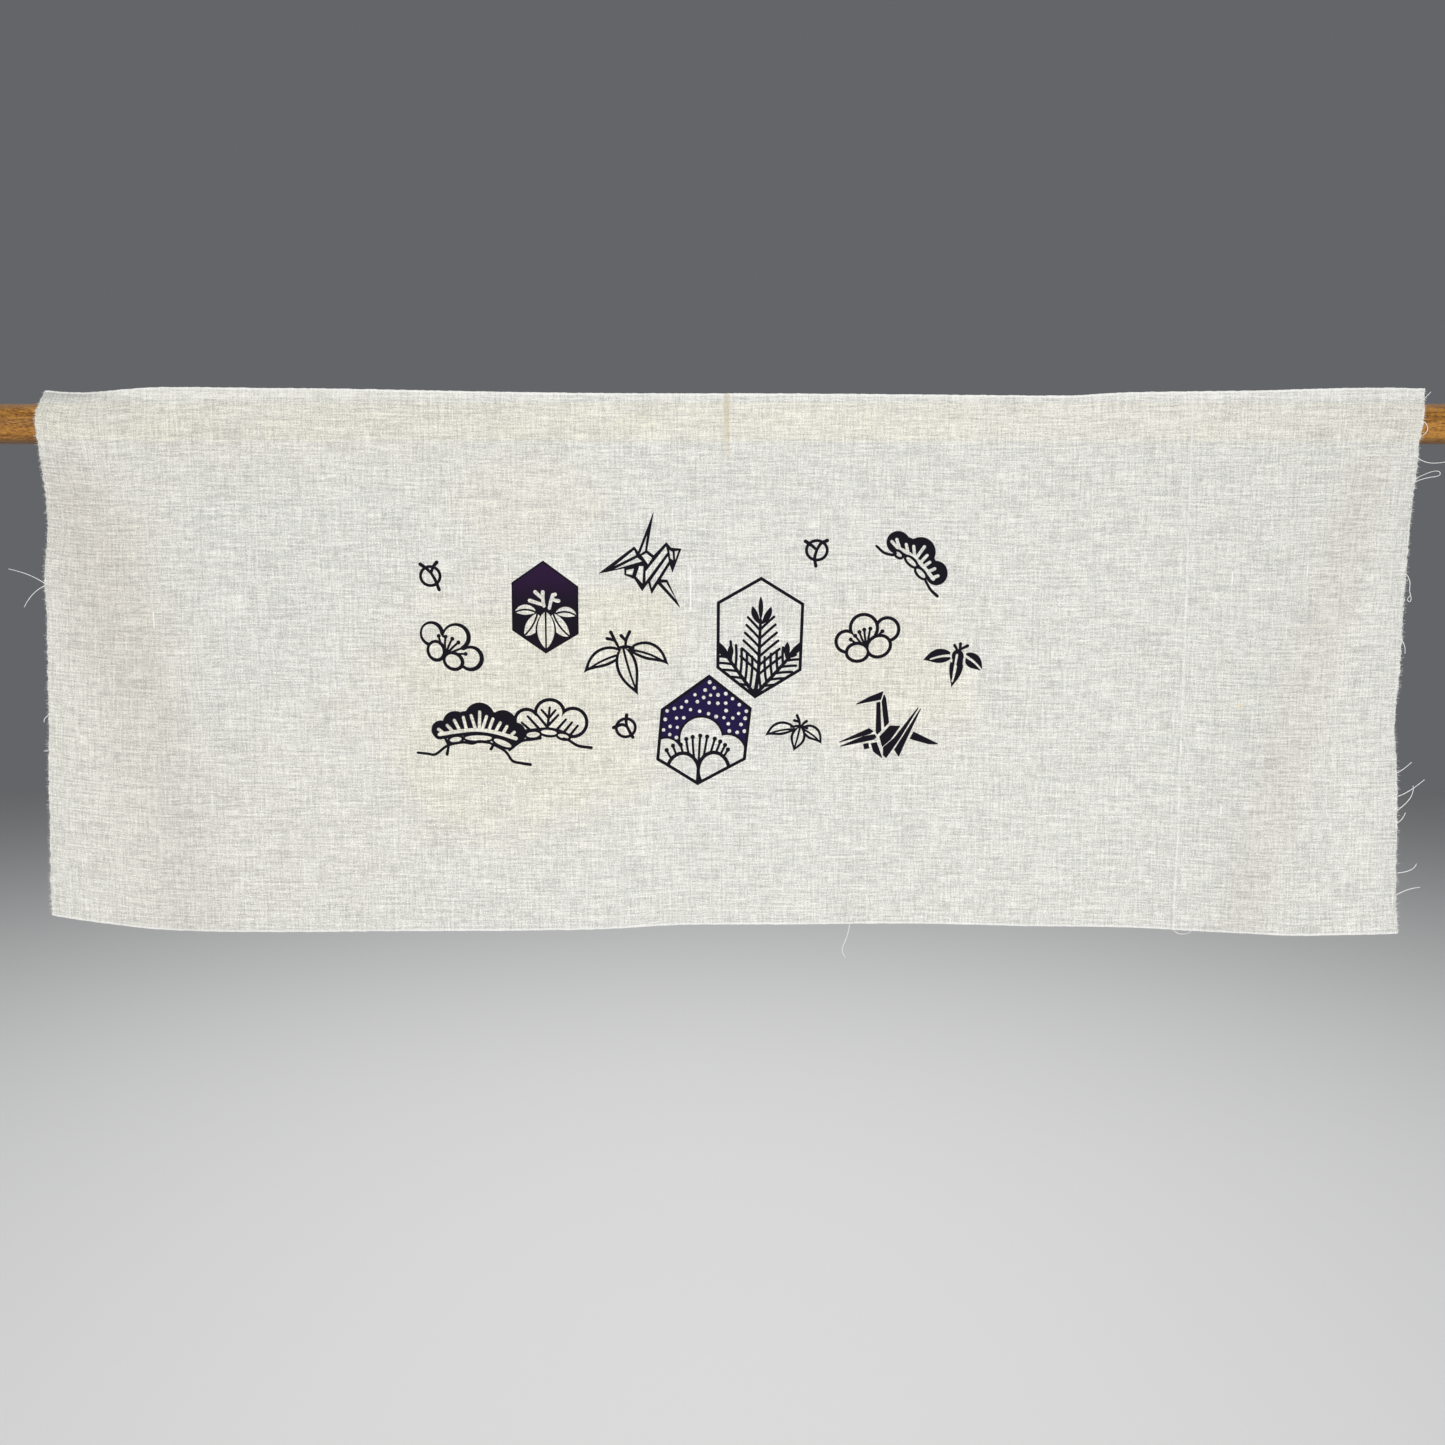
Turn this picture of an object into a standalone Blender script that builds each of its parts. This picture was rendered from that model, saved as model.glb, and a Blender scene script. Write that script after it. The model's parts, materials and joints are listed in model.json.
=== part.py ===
# A thin cotton tenugui towel hung face on against the front of a round wooden rod.
# Metres, +Z up. The rod's axis is the X axis, the origin is at its middle, and the towel's printed face
# looks along -Y. The towel is one sheet: its two long sides are selvedges and its two ends are cut raw.

import math
from collections import namedtuple

import bmesh
import bpy
from mathutils import Vector

# Driving sizes
ROD_DIAMETER = 0.026
ROD_LENGTH = 1.200
ROD_SIDES = 48
ROD_END_BEVEL = 0.0012
TOWEL_LENGTH = 0.900  # cut length, which lies along the rod
SHEET_THICKNESS = 0.001  # cotton sheeting is thinner, and this is the least for a solid sheet
SEAT_GAP = 0.0003  # between the rod and the back of the towel
COLUMN_STEP = 0.0150  # spacing of the sheet's upright rows of points
ROW_STEP = 0.0170  # spacing of its level rows of points

# Height of each selvedge above the rod's axis, at a place along the rod
EdgeHeight = namedtuple("EdgeHeight", "along height")
TOP_SELVEDGE = [
    EdgeHeight(-0.4500, 0.0212),
    EdgeHeight(-0.4265, 0.0193),
    EdgeHeight(-0.4020, 0.0198),
    EdgeHeight(-0.3840, 0.0211),
    EdgeHeight(-0.3610, 0.0222),
    EdgeHeight(-0.3100, 0.0218),
    EdgeHeight(-0.2500, 0.0212),
    EdgeHeight(-0.1770, 0.0198),
    EdgeHeight(-0.0850, 0.0184),
    EdgeHeight(0.0450, 0.0181),
    EdgeHeight(0.1180, 0.0175),
    EdgeHeight(0.2120, 0.0167),
    EdgeHeight(0.2310, 0.0170),
    EdgeHeight(0.2620, 0.0188),
    EdgeHeight(0.3400, 0.0199),
    EdgeHeight(0.4150, 0.0218),
    EdgeHeight(0.4500, 0.0213),
]
BOTTOM_SELVEDGE = [
    EdgeHeight(-0.4500, -0.3237),
    EdgeHeight(-0.4360, -0.3264),
    EdgeHeight(-0.4140, -0.3304),
    EdgeHeight(-0.3760, -0.3359),
    EdgeHeight(-0.3300, -0.3360),
    EdgeHeight(-0.2200, -0.3360),
    EdgeHeight(-0.1200, -0.3352),
    EdgeHeight(-0.0686, -0.3337),
    EdgeHeight(-0.0300, -0.3312),
    EdgeHeight(0.0460, -0.3308),
    EdgeHeight(0.1220, -0.3306),
    EdgeHeight(0.2000, -0.3323),
    EdgeHeight(0.2740, -0.3330),
    EdgeHeight(0.3130, -0.3354),
    EdgeHeight(0.3530, -0.3387),
    EdgeHeight(0.3900, -0.3391),
    EdgeHeight(0.4500, -0.3361),
]

# How far each raw end stands out past (+) or short of (-) the cut length, at a height
EndReach = namedtuple("EndReach", "height left right")
RAW_ENDS = [
    EndReach(-0.3360, -0.0047, -0.0006),
    EndReach(-0.3080, -0.0044, -0.0031),
    EndReach(-0.2600, -0.0058, -0.0045),
    EndReach(-0.2200, -0.0068, -0.0068),
    EndReach(-0.1960, -0.0078, -0.0088),
    EndReach(-0.1560, -0.0090, -0.0071),
    EndReach(-0.1250, -0.0097, -0.0065),
    EndReach(-0.1000, -0.0087, -0.0052),
    EndReach(-0.0710, -0.0114, -0.0035),
    EndReach(-0.0550, -0.0109, -0.0020),
    EndReach(-0.0400, -0.0098, -0.0006),
    EndReach(-0.0225, -0.0074, 0.0011),
    EndReach(-0.0130, -0.0063, 0.0014),
    EndReach(-0.0050, -0.0055, 0.0027),
    EndReach(0.0015, -0.0052, 0.0036),
    EndReach(0.0065, -0.0058, 0.0036),
    EndReach(0.0130, -0.0073, 0.0036),
    EndReach(0.0215, -0.0088, 0.0039),
]
END_BLEND = 0.090  # length of cloth at each end over which its reach fades in

# Soft upright folds below the rod. A fold's middle runs through three places, top, middle and bottom,
# and it dips away from the viewer by depth, or towards the viewer where depth is negative.
Fold = namedtuple("Fold", "top middle bottom half_width depth")
FOLDS = [
    Fold(-0.4340, -0.3800, -0.3720, 0.024, 0.0050),
    Fold(-0.3300, -0.3050, -0.2900, 0.055, -0.0014),
    Fold(-0.2000, -0.2050, -0.2150, 0.060, 0.0012),
    Fold(0.0300, 0.0200, 0.0150, 0.080, -0.0016),
    Fold(0.1750, 0.1700, 0.1650, 0.055, 0.0010),
    Fold(0.3450, 0.3000, 0.2850, 0.045, -0.0014),
    Fold(0.4380, 0.3780, 0.3520, 0.026, 0.0052),
]
FOLD_HEIGHTS = (-0.020, -0.175, -0.335)  # of the three places
FOLD_START = -0.008  # height where folds begin, just under the rod's front
FOLD_FULL = -0.150  # height from which they have their full depth
END_FLARE = 0.0055  # how far the two ends stand forward, low down
FLARE_LENGTH = 0.055

# Sharp press marks left by folding the towel into a parcel, as narrow upright ridges
PRESS_MARKS = (0.0015, 0.2260, 0.3030)
PRESS_HALF_WIDTH = 0.0035
PRESS_HEIGHT = 0.0006

# The free strip above the rod leans back a little, and more at its left corner
STRIP_LEAN = 0.0012
CORNER_LEAN = 0.0070
CORNER_LENGTH = 0.060
STRIP_HEIGHT = 0.020

COTTON_COLOUR = (0.71, 0.70, 0.65, 1.0)
WOOD_COLOUR = (0.35, 0.17, 0.045, 1.0)


def clear_scene():
    for old in list(bpy.data.objects):
        bpy.data.objects.remove(old)


def make_material(name, colour, roughness):
    material = bpy.data.materials.new(name)
    material.use_nodes = True
    shader = material.node_tree.nodes["Principled BSDF"]
    shader.inputs["Base Color"].default_value = colour
    shader.inputs["Roughness"].default_value = roughness
    shader.inputs["Metallic"].default_value = 0.0
    return material


def ease(low, high, value):
    """0 below low, 1 above high, and a smooth step between them."""
    share = min(1.0, max(0.0, (value - low) / (high - low)))
    return share * share * (3.0 - 2.0 * share)


def curve_through(places, values, at):
    """A smooth curve through the values at rising places, read at one place."""
    last = len(places) - 1
    at = min(max(at, places[0]), places[last])
    step = next(i for i in range(last) if at <= places[i + 1])

    def slope(i):
        before, after = max(i - 1, 0), min(i + 1, last)
        return (values[after] - values[before]) / (places[after] - places[before])

    width = places[step + 1] - places[step]
    u = (at - places[step]) / width
    start, end = values[step], values[step + 1]
    return (
        start * (1 + 2 * u) * (1 - u) ** 2
        + end * u * u * (3 - 2 * u)
        + slope(step) * width * u * (1 - u) ** 2
        - slope(step + 1) * width * u * u * (1 - u)
    )


def column(table, name):
    return [getattr(row, name) for row in table]


def selvedge_height(table, along):
    return curve_through(column(table, "along"), column(table, "height"), along)


def fold_middle(fold, height):
    places = (fold.bottom, fold.middle, fold.top)
    return curve_through(FOLD_HEIGHTS[::-1], places, height)


def dip(along, height):
    """How far the cloth's folds carry it back (+) or forward (-) at a place on the towel."""
    below_rod = ease(-FOLD_START, -FOLD_FULL, -height)
    total = 0.0
    for fold in FOLDS:
        off_middle = (along - fold_middle(fold, height)) / fold.half_width
        total += fold.depth * math.exp(-off_middle * off_middle)
    flare_start = TOWEL_LENGTH / 2 - FLARE_LENGTH
    total -= END_FLARE * ease(flare_start, TOWEL_LENGTH / 2, abs(along))
    return total * below_rod


def press_ridge(along):
    """Height of a press mark's ridge, which is a narrow tent."""
    nearest = min(abs(along - mark) for mark in PRESS_MARKS)
    return PRESS_HEIGHT * max(0.0, 1.0 - nearest / PRESS_HALF_WIDTH)


def strip_lean(along, height):
    """How far the free strip above the rod leans back."""
    share = max(0.0, height / STRIP_HEIGHT) ** 2
    corner = ease(CORNER_LENGTH - TOWEL_LENGTH / 2, -TOWEL_LENGTH / 2, along) if along < 0 else 0.0
    return share * (STRIP_LEAN + CORNER_LEAN * corner)


def towel_point(along, down):
    """The back of the towel at a place along it, and a share of the way from top to bottom selvedge."""
    top = selvedge_height(TOP_SELVEDGE, along)
    height = top + (selvedge_height(BOTTOM_SELVEDGE, along) - top) * down
    side = "left" if along < 0 else "right"
    reach = curve_through(column(RAW_ENDS, "height"), column(RAW_ENDS, side), height)
    share_of_reach = ease(TOWEL_LENGTH / 2 - END_BLEND, TOWEL_LENGTH / 2, abs(along))
    outward = -1.0 if along < 0 else 1.0
    across = along + outward * reach * share_of_reach
    seat = -(ROD_DIAMETER / 2 + SEAT_GAP)
    back = seat + dip(along, height) + strip_lean(along, height) - press_ridge(along)
    return Vector((across, back, height))


def column_places():
    """Places of the sheet's columns: evenly spaced, with each press mark's ridge and its two feet."""
    count = round(TOWEL_LENGTH / COLUMN_STEP)
    even = [TOWEL_LENGTH * (i / count - 0.5) for i in range(count + 1)]
    feet = [mark + side * PRESS_HALF_WIDTH for mark in PRESS_MARKS for side in (-1, 0, 1)]
    clear = [x for x in even if min(abs(x - foot) for foot in feet) > COLUMN_STEP / 4]
    return sorted(clear + feet)


def make_towel(cotton):
    """The whole towel as one closed sheet with its outline, folds and press marks."""
    places = column_places()
    rows = round((TOP_SELVEDGE[0].height - BOTTOM_SELVEDGE[0].height) / ROW_STEP)
    shape = bmesh.new()
    bmesh.ops.create_grid(shape, x_segments=len(places) - 1, y_segments=rows, size=1.0)
    for vertex in shape.verts:
        column_index = round((vertex.co.x + 1.0) / 2.0 * (len(places) - 1))
        down = (1.0 - vertex.co.y) / 2.0
        vertex.co = towel_point(places[column_index], down)
    bmesh.ops.recalc_face_normals(shape, faces=shape.faces)
    shape.faces.ensure_lookup_table()
    if shape.faces[0].normal.y > 0:
        bmesh.ops.reverse_faces(shape, faces=shape.faces)
    mesh = bpy.data.meshes.new("towel")
    shape.to_mesh(mesh)
    shape.free()
    mesh.materials.append(cotton)
    towel = bpy.data.objects.new("towel", mesh)
    bpy.context.collection.objects.link(towel)
    sheet = towel.modifiers.new("Sheet", "SOLIDIFY")
    sheet.thickness = SHEET_THICKNESS
    sheet.offset = 1.0  # the thickness is added in front of the towel's back
    mesh.shade_smooth()
    return towel


def make_rod(wood):
    """The round rod that carries the towel, with eased ends."""
    shape = bmesh.new()
    bmesh.ops.create_cone(
        shape,
        cap_ends=True,
        segments=ROD_SIDES,
        radius1=ROD_DIAMETER / 2,
        radius2=ROD_DIAMETER / 2,
        depth=ROD_LENGTH,
    )
    rims = [edge for edge in shape.edges if abs(edge.verts[0].co.z - edge.verts[1].co.z) < 1e-6]
    bmesh.ops.bevel(
        shape,
        geom=rims,
        offset=ROD_END_BEVEL,
        segments=2,
        profile=0.5,
        affect="EDGES",
        material=-1,
    )
    mesh = bpy.data.meshes.new("rod")
    shape.to_mesh(mesh)
    shape.free()
    mesh.shade_smooth()
    mesh.set_sharp_from_angle(angle=math.radians(40))
    mesh.materials.append(wood)
    rod = bpy.data.objects.new("rod", mesh)
    rod.rotation_euler = (0.0, math.radians(90), 0.0)
    bpy.context.collection.objects.link(rod)
    return rod


def main():
    clear_scene()
    cotton = make_material("undyed cotton", COTTON_COLOUR, 0.9)
    wood = make_material("stained wood", WOOD_COLOUR, 0.45)
    make_rod(wood)
    make_towel(cotton)


main()
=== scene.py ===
import cmath
import json
import math
import random

import bmesh
import bpy
import numpy as np
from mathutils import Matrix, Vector, noise
from mathutils.geometry import delaunay_2d_cdt

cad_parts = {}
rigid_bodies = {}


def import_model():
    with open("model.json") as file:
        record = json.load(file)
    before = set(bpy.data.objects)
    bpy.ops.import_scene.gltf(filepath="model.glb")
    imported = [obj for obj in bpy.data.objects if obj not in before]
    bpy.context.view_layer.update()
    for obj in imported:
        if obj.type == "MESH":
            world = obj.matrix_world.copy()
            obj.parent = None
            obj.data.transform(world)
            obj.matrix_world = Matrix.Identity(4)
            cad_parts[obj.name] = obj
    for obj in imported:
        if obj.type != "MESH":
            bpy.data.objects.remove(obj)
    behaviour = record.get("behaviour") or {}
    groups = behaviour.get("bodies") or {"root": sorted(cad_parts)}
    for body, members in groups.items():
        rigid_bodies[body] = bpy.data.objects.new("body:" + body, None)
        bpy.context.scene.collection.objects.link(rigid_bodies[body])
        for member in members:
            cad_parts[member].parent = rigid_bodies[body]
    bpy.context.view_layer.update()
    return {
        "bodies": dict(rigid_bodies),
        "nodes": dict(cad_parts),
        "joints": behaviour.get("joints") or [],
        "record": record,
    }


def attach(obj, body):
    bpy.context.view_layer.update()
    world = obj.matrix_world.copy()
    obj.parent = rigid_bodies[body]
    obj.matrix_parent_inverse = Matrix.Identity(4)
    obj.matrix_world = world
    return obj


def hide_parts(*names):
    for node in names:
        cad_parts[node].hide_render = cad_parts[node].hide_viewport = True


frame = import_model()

# A tenugui towel hung face on against a wooden rod. Metres, with the rod's axis along X and the print
# facing -Y. The flat cloth and its print are drawn in millimetres: x along the towel from its middle,
# and y up from the rod's axis.


# Shader maths written as plain expressions

class Wire:
    # one output socket, with the operators that the recipes below use
    def __init__(self, recipe, socket):
        self.recipe = recipe
        self.socket = socket

    def other(self, name):
        return Wire(self.recipe, self.socket.node.outputs[name])

    def maths(self, operation, *values):
        return self.recipe.node("ShaderNodeMath", {"operation": operation}, dict(enumerate(values)))

    def __add__(self, value):
        return self.maths("ADD", self, value)

    def __radd__(self, value):
        return self.maths("ADD", value, self)

    def __sub__(self, value):
        return self.maths("SUBTRACT", self, value)

    def __rsub__(self, value):
        return self.maths("SUBTRACT", value, self)

    def __mul__(self, value):
        return self.maths("MULTIPLY", self, value)

    def __rmul__(self, value):
        return self.maths("MULTIPLY", value, self)

    def __truediv__(self, value):
        return self.maths("DIVIDE", self, value)

    def sine(self):
        return self.maths("SINE", self)

    def size(self):
        return self.maths("ABSOLUTE", self)

    def root(self):
        return self.maths("SQRT", self)

    def most(self, value):
        return self.maths("MAXIMUM", self, value)

    def least(self, value):
        return self.maths("MINIMUM", self, value)

    def ramp(self, low, high, bottom=0.0, top=1.0):
        # a smooth step from bottom at low to top at high
        values = {"Value": self, "From Min": low, "From Max": high, "To Min": bottom, "To Max": top}
        return self.recipe.node("ShaderNodeMapRange", {"interpolation_type": "SMOOTHSTEP"}, values)


class Recipe:
    # a material and its nodes
    def __init__(self, name):
        self.material = bpy.data.materials.new(name)
        self.material.use_nodes = True
        self.tree = self.material.node_tree
        self.shader = self.tree.nodes["Principled BSDF"]

    def connect(self, socket, value):
        if isinstance(value, Wire):
            self.tree.links.new(value.socket, socket)
        else:
            socket.default_value = value

    def node(self, kind, settings=None, values=None, out=0):
        made = self.tree.nodes.new(kind)
        for name, setting in (settings or {}).items():
            setattr(made, name, setting)
        for name, value in (values or {}).items():
            self.connect(made.inputs[name], value)
        return Wire(self, made.outputs[out])

    def mix(self, share, first, second):
        return self.node("ShaderNodeMix", {"data_type": "RGBA"}, {0: share, 6: first, 7: second}, out=2)

    def noise(self, x, y, z, detail=2.0, roughness=0.5):
        # soft noise from 0 to 1, whose spots are about one unit across
        vector = self.node("ShaderNodeCombineXYZ", None, {"X": x, "Y": y, "Z": z})
        values = {"Vector": vector, "Scale": 1.0, "Detail": detail, "Roughness": roughness}
        return self.node("ShaderNodeTexNoise", None, values)

    def place(self):
        # millimetres along each axis of the object
        at = self.node("ShaderNodeTexCoord", out="Object")
        parts = self.node("ShaderNodeSeparateXYZ", None, {0: at})
        return parts * 1000, parts.other("Y") * 1000, parts.other("Z") * 1000

    def flatPlace(self):
        # millimetres along and up the flat cloth, which its own attribute holds
        at = self.node("ShaderNodeAttribute", {"attribute_name": "flatCloth"}, out="Vector")
        parts = self.node("ShaderNodeSeparateXYZ", None, {0: at})
        return parts, parts.other("Y")

    def bump(self, height, distance, strength=1.0):
        values = {"Height": height, "Distance": distance, "Strength": strength}
        return self.node("ShaderNodeBump", None, values)

    def finish(self, **values):
        for name, value in values.items():
            self.connect(self.shader.inputs[name.replace("_", " ")], value)
        return self.material


def addPiece(name, data, *materials):
    for material in materials:
        data.materials.append(material)
    piece = bpy.data.objects.new(name, data)
    bpy.context.collection.objects.link(piece)
    return piece


# The towel's hanging shape, which is its solid's shape

towel = {
    "length": 0.900,
    "width": 0.3555,  # selvedge to selvedge
    "top": 0.0195,  # mean height of the top selvedge above the rod's axis
    "thickness": 0.00035,
    "rodRadius": 0.0130,
    "seatGap": 0.0003,
    "gridStep": 4.0,  # mm between the mesh's points
    "edgeStep": 1.2,  # mm between the points along the raw ends
    "rawStrip": 1.2,  # mm from the raw ends and from the selvedges to the first row of points
    "selvedgeStrip": 1.3,
    "mergeGap": 0.004,  # mm
    "sharpAngle": 50,
    "endBlend": 0.090,
    # place along the rod, height of the selvedge there
    "topSelvedge": [
        (-0.4500, 0.0212), (-0.4265, 0.0193), (-0.4020, 0.0198), (-0.3840, 0.0211), (-0.3610, 0.0222),
        (-0.3100, 0.0218), (-0.2500, 0.0212), (-0.1770, 0.0198), (-0.0850, 0.0184), (0.0450, 0.0181),
        (0.1180, 0.0175), (0.2120, 0.0167), (0.2310, 0.0170), (0.2620, 0.0188), (0.3400, 0.0199),
        (0.4150, 0.0218), (0.4500, 0.0213),
    ],
    "bottomSelvedge": [
        (-0.4500, -0.3237), (-0.4360, -0.3264), (-0.4140, -0.3304), (-0.3760, -0.3359), (-0.3300, -0.3360),
        (-0.2200, -0.3360), (-0.1200, -0.3352), (-0.0686, -0.3337), (-0.0300, -0.3312), (0.0460, -0.3308),
        (0.1220, -0.3306), (0.2000, -0.3323), (0.2740, -0.3330), (0.3130, -0.3354), (0.3530, -0.3387),
        (0.3900, -0.3391), (0.4500, -0.3361),
    ],
    # height, how far the left and the right raw end stand out past the cut length there
    "rawEnds": [
        (-0.3360, -0.0047, -0.0006), (-0.3080, -0.0044, -0.0031), (-0.2600, -0.0058, -0.0045),
        (-0.2200, -0.0068, -0.0068), (-0.1960, -0.0078, -0.0088), (-0.1560, -0.0090, -0.0071),
        (-0.1250, -0.0097, -0.0065), (-0.1000, -0.0087, -0.0052), (-0.0710, -0.0114, -0.0035),
        (-0.0550, -0.0109, -0.0020), (-0.0400, -0.0098, -0.0006), (-0.0225, -0.0074, 0.0011),
        (-0.0130, -0.0063, 0.0014), (-0.0050, -0.0055, 0.0027), (0.0015, -0.0052, 0.0036),
        (0.0065, -0.0058, 0.0036), (0.0130, -0.0073, 0.0036), (0.0215, -0.0088, 0.0039),
    ],
    # middle of a fold at its top, middle and bottom, its half width, and how far back it dips
    "folds": [
        (-0.4340, -0.3800, -0.3720, 0.024, 0.0050),
        (-0.3300, -0.3050, -0.2900, 0.055, -0.0014),
        (-0.2000, -0.2050, -0.2150, 0.060, 0.0012),
        (0.0300, 0.0200, 0.0150, 0.080, -0.0016),
        (0.1750, 0.1700, 0.1650, 0.055, 0.0010),
        (0.3450, 0.3000, 0.2850, 0.045, -0.0014),
        (0.4380, 0.3780, 0.3520, 0.026, 0.0052),
    ],
    "foldHeights": (-0.020, -0.175, -0.335),
    "foldStart": 0.008,  # depth below the rod's axis where the folds begin
    "foldFull": 0.150,
    "endFlare": 0.0055,
    "flareLength": 0.055,
    "pressMarks": [(0.0015, 0.00012), (0.2260, 0.00016), (0.3030, 0.00034)],  # place, height of its ridge
    "pressHalfWidth": 0.0028,
    "stripLean": 0.0012,
    "cornerLean": 0.0070,
    "cornerLength": 0.060,
    "stripHeight": 0.020,
    # the cloth's own small unevenness, in metres: size of each ripple, and how long it is
    "ripples": [(0.00038, 0.060), (0.00014, 0.019)],
    "rippleClearHeight": 0.016,  # the ripples fade out within this of the rod's axis
    "rawJitter": 0.00055,
    "selvedgeJitter": 0.00016,
    "jitterReach": 0.0035,
}


def ease(low, high, value):
    share = np.clip((value - low) / (high - low), 0.0, 1.0)
    return share * share * (3.0 - 2.0 * share)


def curveThrough(places, values, at):
    # a smooth curve through the values, read at many places
    places, values = np.array(places, float), np.array(values, float)
    last = len(places) - 1
    slopes = np.empty(last + 1)
    slopes[1:-1] = (values[2:] - values[:-2]) / (places[2:] - places[:-2])
    slopes[0] = (values[1] - values[0]) / (places[1] - places[0])
    slopes[last] = (values[last] - values[last - 1]) / (places[last] - places[last - 1])
    at = np.clip(at, places[0], places[last])
    step = np.clip(np.searchsorted(places, at) - 1, 0, last - 1)
    width = places[step + 1] - places[step]
    u = (at - places[step]) / width
    return (
        values[step] * (1 + 2 * u) * (1 - u) ** 2
        + values[step + 1] * u * u * (3 - 2 * u)
        + slopes[step] * width * u * (1 - u) ** 2
        - slopes[step + 1] * width * u * u * (1 - u)
    )


def selvedges(along):
    # heights of the top and the bottom selvedge at places along the rod
    return [curveThrough(*zip(*towel[edge]), along) for edge in ("topSelvedge", "bottomSelvedge")]


def clothDip(along, height):
    # how far the folds carry the cloth back at each place
    total = np.zeros_like(along)
    for top, middle, bottom, halfWidth, depth in towel["folds"]:
        line = curveThrough(towel["foldHeights"][::-1], (bottom, middle, top), height)
        total += depth * np.exp(-(((along - line) / halfWidth) ** 2))
    half = towel["length"] / 2
    total -= towel["endFlare"] * ease(half - towel["flareLength"], half, np.abs(along))
    return total * ease(towel["foldStart"], towel["foldFull"], -height)


def smallRipples(along, down):
    total = np.zeros_like(along)
    for height, length in towel["ripples"]:
        waves = [noise.noise(Vector((a / length, d / length, height * 1e5))) for a, d in zip(along, down)]
        total += height * np.array(waves)
    return total


def edgeJitter(seed, size, places):
    # an uneven edge: small random steps along it, read at each place
    step = towel["edgeStep"] / 1000
    count = int(towel["length"] / step) + 4
    draw = random.Random(seed)
    steps = np.array([draw.uniform(-size, size) for _ in range(count)])
    return np.interp(places, np.arange(count) * step - towel["length"] / 2, steps)


def nearEdge(gap):
    # 1 at an edge, fading to 0 away from it
    return 1.0 - ease(0.0, towel["jitterReach"], gap)


def hangCloth(along, down):
    # back surface of the hanging towel, from places along it and depths below its top selvedge
    half = towel["length"] / 2
    top, bottom = selvedges(along)
    height = top + (bottom - top) * down / towel["width"]
    heights, left, right = zip(*towel["rawEnds"])
    reach = np.where(along < 0, curveThrough(heights, left, height), curveThrough(heights, right, height))
    outward = np.sign(along)
    across = along + outward * reach * ease(half - towel["endBlend"], half, np.abs(along))
    ridge = np.zeros_like(along)
    for place, rise in towel["pressMarks"]:
        ridge += rise * np.maximum(0.0, 1.0 - np.abs(along - place) / towel["pressHalfWidth"])
    corner = np.where(along < 0, ease(towel["cornerLength"] - half, -half, along), 0.0)
    lean = np.maximum(0.0, height / towel["stripHeight"]) ** 2
    lean = lean * (towel["stripLean"] + towel["cornerLean"] * corner)
    seat = -(towel["rodRadius"] + towel["seatGap"])
    clear = ease(0.0, towel["rippleClearHeight"], np.abs(height))
    back = seat + clothDip(along, height) + lean - ridge - np.abs(smallRipples(along, down)) * clear
    across += outward * nearEdge(half - np.abs(along)) * edgeJitter(5, towel["rawJitter"], height)
    height = height + edgeJitter(6, towel["selvedgeJitter"], along) * nearEdge(towel["width"] - down)
    height = height + edgeJitter(7, towel["selvedgeJitter"], along) * nearEdge(down)
    return np.stack((across, back, height), axis=1)


# A drawing kit for the print: points are complex numbers in millimetres

inkNumbers = {"bare": 0, "black": 1, "purple": 2, "indigo": 3}
inkAreas = []  # (ink, outline, frame) in printing order: a later one covers an earlier one inside its frame
printLine = 1.9  # usual width of a printed line


def path(*numbers):
    # points from their x and y in turn
    return [complex(x, y) for x, y in zip(numbers[::2], numbers[1::2])]


def oval(centre, radiusX, radiusY, tilt=0.0, steps=28):
    turn = cmath.rect(1, math.radians(tilt))
    angles = [math.tau * i / steps for i in range(steps)]
    return [centre + turn * complex(radiusX * math.cos(a), radiusY * math.sin(a)) for a in angles]


def bow(start, end, bulge=0.0, steps=8, stop=1.0):
    # a line that bows to its left by a share of its length, drawn as far as the stop
    crown = (start + end) / 2 + 2j * (end - start) * bulge
    ts = [stop * i / steps for i in range(steps + 1)]
    return [start * (1 - t) ** 2 + 2 * crown * t * (1 - t) + end * t * t for t in ts]


def through(points, steps=5):
    # a smooth line through a few points
    ends = [2 * points[0] - points[1]] + list(points) + [2 * points[-1] - points[-2]]
    line = []
    for a, b, c, d in zip(ends, ends[1:], ends[2:], ends[3:]):
        for i in range(steps):
            t = i / steps
            bend = (2 * a - 5 * b + 4 * c - d) * t * t + (3 * b - a - 3 * c + d) * t ** 3
            line.append(0.5 * (2 * b + (c - a) * t + bend))
    return line + [points[-1]]


def sidesOf(line, widths):
    # the outline of a brush line with round ends
    last = len(line) - 1
    ways = [line[min(i + 1, last)] - line[max(i - 1, 0)] for i in range(last + 1)]
    ways = [way / (abs(way) or 1.0) for way in ways]
    left = [p + 1j * way * w / 2 for p, way, w in zip(line, ways, widths)]
    right = [p - 1j * way * w / 2 for p, way, w in zip(line, ways, widths)]
    capAngles = [math.radians(a) for a in (60, 30, 0, -30, -60)]
    endCap = [line[-1] + ways[-1] * widths[-1] / 2 * cmath.rect(1, a) for a in capAngles]
    startCap = [line[0] - ways[0] * widths[0] / 2 * cmath.rect(1, a) for a in capAngles]
    return left + endCap + right[::-1] + startCap


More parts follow.
